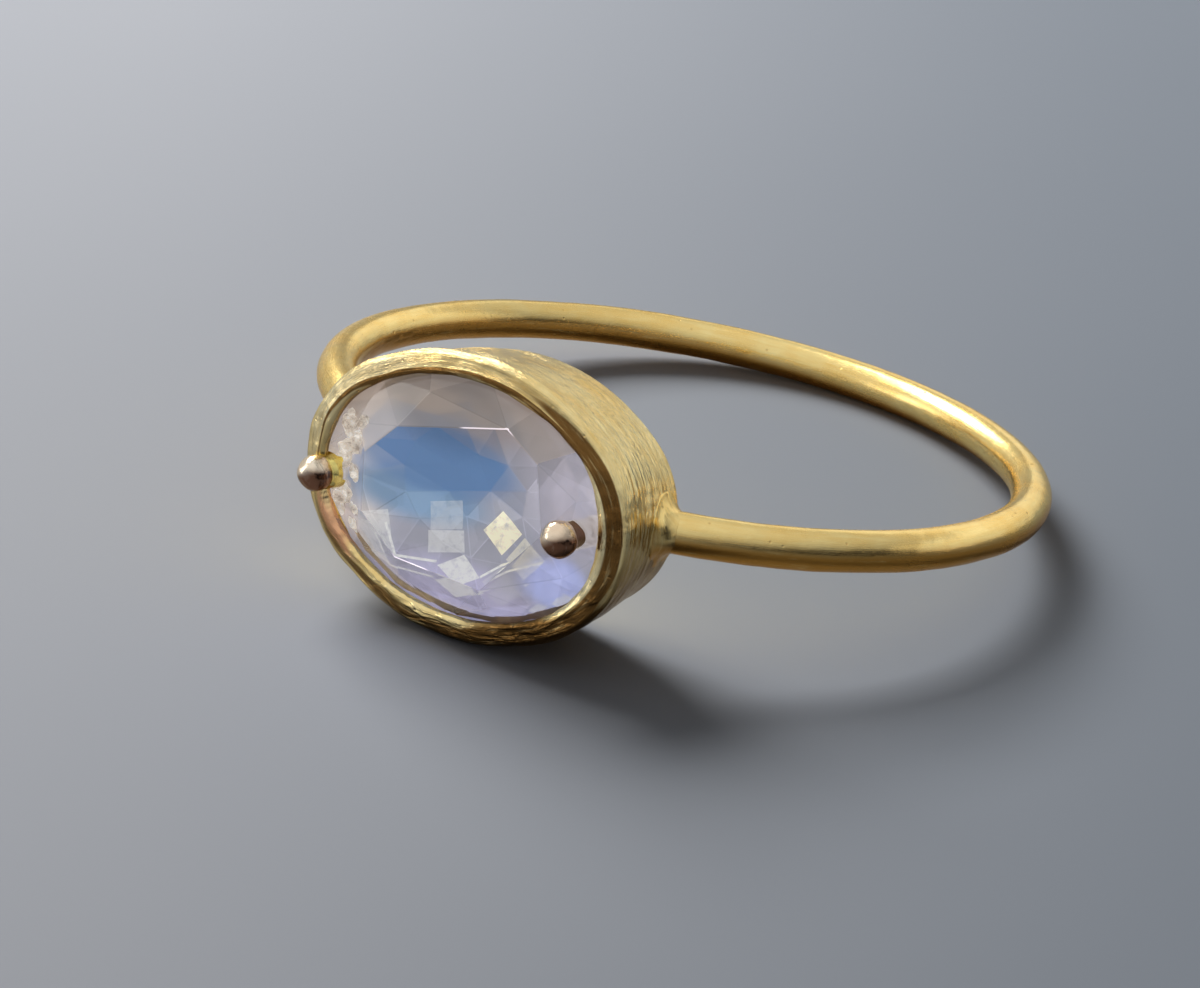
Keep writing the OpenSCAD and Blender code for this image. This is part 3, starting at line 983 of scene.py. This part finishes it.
def back_material():
    """Back of the stone, which carries the colour: a painted blue sheen, lavender sides and painted pale
    flashes, all given out as a painted glow.
    """
    made, tree, shader = new_material("moonstone_back")
    place = in_cup(tree)
    haze = noise_at(tree, place, scale=0.8, detail=4.0, roughness=0.6)
    body = mix_colour(tree, haze, (0.32, 0.34, 0.40), (0.46, 0.46, 0.53))
    for colour, centre, size, soft in BACK_ZONES:
        body = mix_colour(tree, patch(tree, place, (*centre, BACK_MID), (*size, THROUGH), soft), body, colour)
    # Painted blue sheen, partly soft and partly by facets
    sheen = patch(tree, place, (*BLUE_AT, BACK_MID), (*BLUE_SIZE, THROUGH), BLUE_SOFT)
    sheen = plus(tree, times(tree, sheen, 0.45), times(tree, attribute(tree, "facet_blue"), 0.55))
    body = mix_colour(tree, sheen, body, BLUE)
    small = add(tree, "ShaderNodeTexVoronoi", feature="F1", in_Scale=1.5, in_Randomness=0.8)
    tree.links.new(stretched(tree, place, (1, 1.2, 0.01)), small.inputs["Vector"])
    mixed = plus(tree, times(tree, attribute(tree, "facet_tone"), 0.6),
                 times(tree, small.outputs["Color"], 0.4))
    calm = scaled(tree, sheen, -0.48, 0.55)
    shade = times(tree, minus(tree, 1.0, mixed), calm)
    body = mix_colour(tree, 1.0, body, minus(tree, 1.22, shade), "MULTIPLY")
    # Painted flashes of reflected light: creamy, one of them yellow, and mottled
    golden = patch(tree, place, centre=(0.65, -0.85, BACK_MID), size=(0.9, 0.7, THROUGH), edge=0.2)
    creamy = mix_colour(tree, golden, (0.88, 0.90, 0.86), (1.0, 0.94, 0.66))
    worn = scaled(tree, noise_at(tree, place, scale=4.2, detail=5.0, roughness=0.75), 3.2, -0.65, clamp=True)
    body = mix_colour(tree, times(tree, attribute(tree, "facet_pale"), worn), body, creamy)
    tree.links.new(body, shader.inputs["Base Color"])
    # Painted glow: the back gives out its colour as light
    tree.links.new(body, shader.inputs["Emission Color"])
    set_shader(shader, Emission_Strength=0.5, Metallic=0.12, Roughness=0.22, IOR=STONE_IOR)
    return made


def ground_material():
    """Chipped and ground walls of the stone, white and uneven, with a painted glow of their own colour."""
    made, tree, shader = new_material("moonstone_ground")
    place = in_cup(tree)
    rough = noise_at(tree, place, scale=4.5, detail=4.0, roughness=0.65)
    white = ramp(tree, rough, GROUND_TONES)
    tree.links.new(white, shader.inputs["Base Color"])
    tree.links.new(white, shader.inputs["Emission Color"])
    set_shader(shader, Emission_Strength=0.36, Roughness=0.2, IOR=STONE_IOR)
    add_relief(tree, shader, rough, 1.0, STONE_RELIEF)
    return made


# The ring

gold_wire = gold_material(
    "gold_wire", light=(0.97, 0.78, 0.34), deep=(0.90, 0.61, 0.19), brown=(0.56, 0.27, 0.050), roughness=0.25,
    stroke_depth=0.25, dent_depth=0.35, bump=0.5, under=1.0, under_from=(-0.10, 0.50))
gold_sheet = gold_material(
    "gold_sheet", light=(0.99, 0.86, 0.47), deep=(0.92, 0.66, 0.24), brown=(0.19, 0.098, 0.028),
    roughness=0.18, stroke_depth=0.8, dent_depth=0.8, bump=1.0, under=0.85, painted_shade=rim_painted_shade,
    marks=(wall_scratches, rim_dents),
    tints=((red_rim, (0.80, 0.40, 0.24), (0.70, 0.26, 0.13)),
           (lip_painted_highlight, (1.0, 0.90, 0.56), (0.98, 0.77, 0.38))))
gold_solder = gold_material(
    "gold_solder", light=(0.97, 0.79, 0.35), deep=(0.86, 0.57, 0.17), brown=(0.34, 0.15, 0.028),
    roughness=0.22, stroke_depth=0.3, dent_depth=0.8, bump=0.9, under=0.9, follow=False)
gold_tip = gold_material(
    "gold_tip", light=(1.0, 0.90, 0.72), deep=(0.94, 0.74, 0.53), brown=(0.22, 0.105, 0.060), roughness=0.15,
    stroke_depth=0.3, dent_depth=1.4, bump=0.9, under=1.0, under_from=(-0.35, 0.20), follow=False)
gold_neck = gold_material(
    "gold_neck", light=(0.99, 0.88, 0.34), deep=(0.90, 0.74, 0.20), brown=(0.22, 0.10, 0.02), roughness=0.24,
    stroke_depth=0.4, dent_depth=1.2, bump=1.0, under=0.5, under_from=(0.2, 0.9), follow=False)
# Dark gold for the right post's neck: painted shade, as the neck lies in the ball's shadow
gold_neck_painted_shade = gold_material(
    "gold_neck_painted_shade", light=(0.34, 0.22, 0.17), deep=(0.20, 0.11, 0.07), brown=(0.08, 0.03, 0.01), roughness=0.30,
    stroke_depth=0.4, dent_depth=1.0, bump=0.8, under=0.8, follow=False)
make_band(gold_wire)
cup, cup_wall = make_cup(gold_sheet)
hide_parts("band_and_setting")
for side, neck in (("right", gold_neck_painted_shade), ("left", gold_neck)):
    make_post(side, gold_tip, neck)
    make_solder(side, gold_solder, cup_wall)
stone = make_stone(
    crown=clear_material("moonstone_crown", (0.95, 0.92, 0.97), (0.96, 0.89, 0.84), transmission=0.70),
    back=back_material(),
    table=clear_material("moonstone_table", (0.98, 0.98, 1.0), (0.97, 0.93, 0.91), transmission=0.93),
    dusky=clear_material("moonstone_dusky", (0.88, 0.81, 0.81), (0.92, 0.78, 0.67), transmission=0.35,
                         glow=0.16),
    ground=ground_material())
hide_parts("moonstone")


# Studio

# Floor: half size in mm, and its colours on the darker and the paler side, a painted fall-off of the light
FLOOR_HALF = 1500
FLOOR_DARK, FLOOR_PALE = (0.345, 0.392, 0.462), (0.60, 0.63, 0.695)

# Way to the floor's paler side, and how far to either side of the middle the two colours blend, in mm
PALER_WAY = (-0.865, -0.50, 0)
PALER_WITHIN = 22

# Sky of the studio: its tones from the dim side to the bright one, and where the bright one is
SKY = (
    (0.0, (0.02, 0.02, 0.022)),
    (0.42, (0.05, 0.05, 0.055)),
    (0.60, (0.55, 0.55, 0.56)),
    (0.75, (0.80, 0.80, 0.81)),
    (0.9, (1.0, 1.0, 1.02)),
)
BRIGHT_SKY = (-0.38, -0.20, 0.90)

# How bright the sky is in polished metal and stone, and how bright on matt surfaces
SKY_SHINE, SKY_MATT = 0.75, 0.06

# Camera: sensor and lens, place in mm and turns in degrees
SENSOR, LENS = 36.0, 136.147
CAMERA_AT = (52.805, -91.171, 49.678)
CAMERA_TURNS = (64.7667, -5.0859, 33.3054)


def make_floor():
    bm = bmesh.new()
    bmesh.ops.create_grid(bm, x_segments=1, y_segments=1, size=FLOOR_HALF)
    bm.transform(Matrix.Scale(MM, 4))
    made, tree, shader = new_material("floor_paper")
    place = in_mm(tree)
    across = add(tree, "ShaderNodeVectorMath", operation="DOT_PRODUCT")
    tree.links.new(place, across.inputs[0])
    across.inputs[1].default_value = PALER_WAY
    # Painted light: the floor is paler towards the key light's side
    paler = add(tree, "ShaderNodeMapRange", interpolation_type="SMOOTHSTEP",
                in_From_Min=-PALER_WITHIN, in_From_Max=PALER_WITHIN)
    tree.links.new(across.outputs["Value"], paler.inputs["Value"])
    soft = scaled(tree, noise_at(tree, place, scale=0.02, detail=2.0), 0.2, -0.1)
    tone = plus(tree, paler.outputs["Result"], soft, clamp=True)
    tree.links.new(mix_colour(tree, tone, FLOOR_DARK, FLOOR_PALE), shader.inputs["Base Color"])
    set_shader(shader, Roughness=0.65, Specular_IOR_Level=0.1)
    floor = to_object(bm, "floor", made)


def softbox(name, place, aim, size, brightness, colour=(1, 1, 1), matt=True):
    """Area lamp, with its place, aim and size in mm; matt says whether it lights matt surfaces too."""
    lamp = bpy.data.lights.new(name, "AREA")
    lamp.shape = "RECTANGLE"
    lamp.size, lamp.size_y = size[0] * MM, size[1] * MM
    lamp.energy = brightness * math.pi * lamp.size * lamp.size_y
    lamp.color = colour
    made = bpy.data.objects.new(name, lamp)
    made.location = Vector(place) * MM
    made.rotation_euler = (Vector(aim) - Vector(place)).to_track_quat("-Z", "Y").to_euler()
    made.visible_diffuse = matt
    bpy.context.scene.collection.objects.link(made)


def make_room():
    world = bpy.data.worlds.new("studio")
    bpy.context.scene.world = world
    world.use_nodes = True
    tree = world.node_tree
    where = tree.nodes.new("ShaderNodeTexCoord")
    toward = add(tree, "ShaderNodeVectorMath", operation="DOT_PRODUCT")
    tree.links.new(where.outputs["Generated"], toward.inputs[0])
    toward.inputs[1].default_value = Vector(BRIGHT_SKY).normalized()
    sky = ramp(tree, scaled(tree, toward.outputs["Value"], 0.5, 0.5), SKY)
    back = tree.nodes["Background"]
    tree.links.new(sky, back.inputs["Color"])
    matt = tree.nodes.new("ShaderNodeLightPath").outputs["Is Diffuse Ray"]
    tree.links.new(scaled(tree, matt, SKY_MATT - SKY_SHINE, SKY_SHINE), back.inputs["Strength"])


def make_camera():
    lens = bpy.data.cameras.new("camera")
    lens.sensor_width = SENSOR
    lens.lens = LENS
    lens.clip_start = 0.005
    lens.clip_end = 10.0
    camera = bpy.data.objects.new("camera", lens)
    camera.location = Vector(CAMERA_AT) * MM
    camera.rotation_euler = tuple(math.radians(turn) for turn in CAMERA_TURNS)
    bpy.context.scene.collection.objects.link(camera)
    bpy.context.scene.camera = camera


make_floor()
make_room()
softbox("key", place=(-145, 54, 129), aim=(0, 0, 2), size=(125, 100), brightness=8.8,
        colour=(1.0, 0.98, 0.95))
softbox("back", place=(45, 108, 38), aim=(0, 0, 3), size=(270, 74), brightness=0.72, matt=False)
softbox("left", place=(-168, -108, 50), aim=(0, 0, 4), size=(110, 90), brightness=1.3,
        colour=(1.0, 0.98, 0.94), matt=False)
make_camera()
bpy.context.scene.view_settings.view_transform = "Standard"
